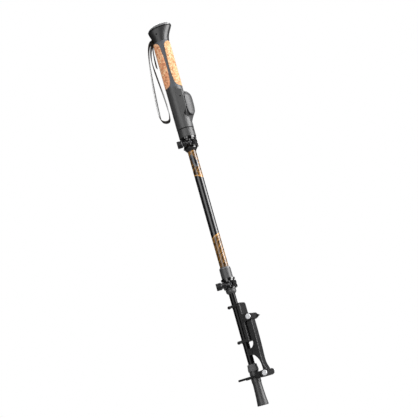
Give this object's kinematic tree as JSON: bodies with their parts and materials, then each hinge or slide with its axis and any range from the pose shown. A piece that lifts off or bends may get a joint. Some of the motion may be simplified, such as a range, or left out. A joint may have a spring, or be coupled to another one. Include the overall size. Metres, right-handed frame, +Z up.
{
  "type": "telescoping climbing staff",
  "caption": "Telescoping walking and climbing staff with a flared head, cork grip, trigger housing, lever clamps on nested tubes and a clip-on folding fork rest above a rubber foot.",
  "frame": {"origin": "centre of the rubber foot's flat bottom, on the staff's axis", "axes": "+Z up the staff from foot to head, +X towards the side of the trigger and of the head's overhang, the wrist strap hangs on -X"},
  "size_m": [0.095, 0.0654, 0.8899],
  "materials": {
    "bare_tube": "drawn, unfinished",
    "web_rubber": "soft moulded, satin",
    "cork": "fine agglomerated cork, sanded",
    "head_rubber": "soft-touch, satin",
    "rim_plastic": "gloss black",
    "cap_plastic": "light grey gloss",
    "anchor_plastic": "moulded",
    "webbing": "woven polyester webbing",
    "housing_plastic": "fine spark texture",
    "ring_plastic": "satin moulded",
    "trigger_plastic": "satin moulded",
    "clamp_plastic": "black, semi gloss",
    "knob_plastic": "knurled, black",
    "printed_tube": "printed camouflage bands under clear lacquer",
    "black_tube": "black anodised, semi gloss",
    "guide_plastic": "acetal",
    "sleeve_plastic": "satin moulded",
    "sleeve_ring_plastic": "light grey",
    "steel": "zinc plated",
    "bolt_steel": "polished heads",
    "rest_nylon": "glass filled nylon, fine texture",
    "prong_rubber": "soft sleeves",
    "liner_rubber": "thin lining",
    "collar_plastic": "light grey",
    "ferrule_plastic": "black",
    "foot_rubber": "grey, satin"
  },
  "bodies": {
    "handle": {"handle_tube": "bare_tube", "grip_web": "web_rubber", "cork_panel_left": "cork", "cork_panel_right": "cork", "pommel": "head_rubber", "pommel_rim": "rim_plastic", "pommel_cap": "cap_plastic", "strap_pin": "steel", "strap_anchor": "anchor_plastic", "strap_loop": "webbing", "strap_tail": "webbing", "housing_left": "housing_plastic", "housing_right": "housing_plastic", "housing_screw_lower": "steel", "housing_screw_upper": "steel", "lower_ring": "ring_plastic", "ring_screw_right": "steel", "ring_screw_left": "steel", "ring_screw_back": "steel", "trigger_pin": "steel", "trigger_spring": "steel", "upper_nose": "clamp_plastic", "upper_clamp_collar": "clamp_plastic", "upper_tension_screw": "steel", "upper_lever_pin": "steel", "upper_washer": "steel"},
    "trigger": {"trigger_paddle": "trigger_plastic"},
    "plunger": {"lock_plunger": "steel"},
    "upper_lever": {"upper_clamp_lever": "clamp_plastic"},
    "upper_knob": {"upper_clamp_knob": "knob_plastic"},
    "middle": {"middle_tube": "printed_tube", "middle_guide": "guide_plastic", "lower_sleeve": "sleeve_plastic", "lower_sleeve_ring": "sleeve_ring_plastic", "lower_clamp_collar": "clamp_plastic", "lower_tension_screw": "steel", "lower_lever_pin": "steel", "lower_washer": "steel"},
    "lower_lever": {"lower_clamp_lever": "clamp_plastic"},
    "lower_knob": {"lower_clamp_knob": "knob_plastic"},
    "lower": {"lower_tube": "black_tube", "lower_guide": "guide_plastic", "foot_collar": "collar_plastic", "foot_ferrule": "ferrule_plastic", "steel_tip": "steel", "rubber_foot": "foot_rubber"},
    "liners": {"clip_liner_lower": "liner_rubber", "clip_liner_upper": "liner_rubber"},
    "bracket": {"rest_bracket": "rest_nylon", "hinge_bolt_upper": "bolt_steel", "hinge_nut_upper": "bolt_steel"},
    "arm": {"rest_arm": "rest_nylon", "hinge_bolt_lower": "bolt_steel", "hinge_nut_lower": "bolt_steel"},
    "yoke": {"rest_yoke": "rest_nylon", "yoke_prong_front": "prong_rubber", "yoke_prong_rear": "prong_rubber"}
  },
  "joints": [
    {"name": "middle_slide", "type": "slide", "parent": "handle", "child": "middle", "axis": [0, 0, -1], "range_m": [0, 0.12]},
    {"name": "lower_slide", "type": "slide", "parent": "middle", "child": "lower", "axis": [0, 0, -1], "range_m": [0, 0.44]},
    {"name": "upper_lever_hinge", "type": "hinge", "parent": "handle", "child": "upper_lever", "pos_m": [0.0039, -0.02, 0.5912], "axis": [0, 0, -1], "range_deg": [0, 120]},
    {"name": "lower_lever_hinge", "type": "hinge", "parent": "middle", "child": "lower_lever", "pos_m": [0.0032, -0.0182, 0.2628], "axis": [0, 0, -1], "range_deg": [0, 120]},
    {"name": "upper_knob_turn", "type": "hinge", "parent": "handle", "child": "upper_knob", "pos_m": [-0.0216, -0.02, 0.5912], "axis": [1, 0, 0], "continuous": true},
    {"name": "lower_knob_turn", "type": "hinge", "parent": "middle", "child": "lower_knob", "pos_m": [-0.0225, -0.0182, 0.2628], "axis": [1, 0, 0], "continuous": true},
    {"name": "trigger_pull", "type": "hinge", "parent": "handle", "child": "trigger", "pos_m": [0.01977, -0.0104, 0.701], "axis": [0.6691, 0.7431, 0], "range_deg": [0, 5], "stiffness_Nm_per_rad": 1.2, "springref_deg": -2.86},
    {"name": "plunger_slide", "type": "slide", "parent": "handle", "child": "plunger", "axis": [0.7431, -0.6691, 0], "range_m": [0, 0.0008]},
    {"name": "rest_slide", "type": "slide", "parent": "lower", "child": "liners", "axis": [0, 0, 1], "range_m": [0, 0.012]},
    {"name": "rest_swivel", "type": "hinge", "parent": "liners", "child": "bracket", "pos_m": [0, 0, 0.177], "axis": [0, 0, 1], "continuous": true},
    {"name": "arm_hinge", "type": "hinge", "parent": "bracket", "child": "arm", "pos_m": [0.02763, -0.01595, 0.1847], "axis": [-0.5, -0.866, 0], "range_deg": [0, 170]},
    {"name": "yoke_hinge", "type": "hinge", "parent": "arm", "child": "yoke", "pos_m": [0.02884, -0.01665, 0.0627], "axis": [-0.5, -0.866, 0], "range_deg": [-8, 110]}
  ],
  "couplings": [
    {"joint": "plunger_slide", "follows": "trigger_pull", "m_per_rad": 0.009}
  ]
}
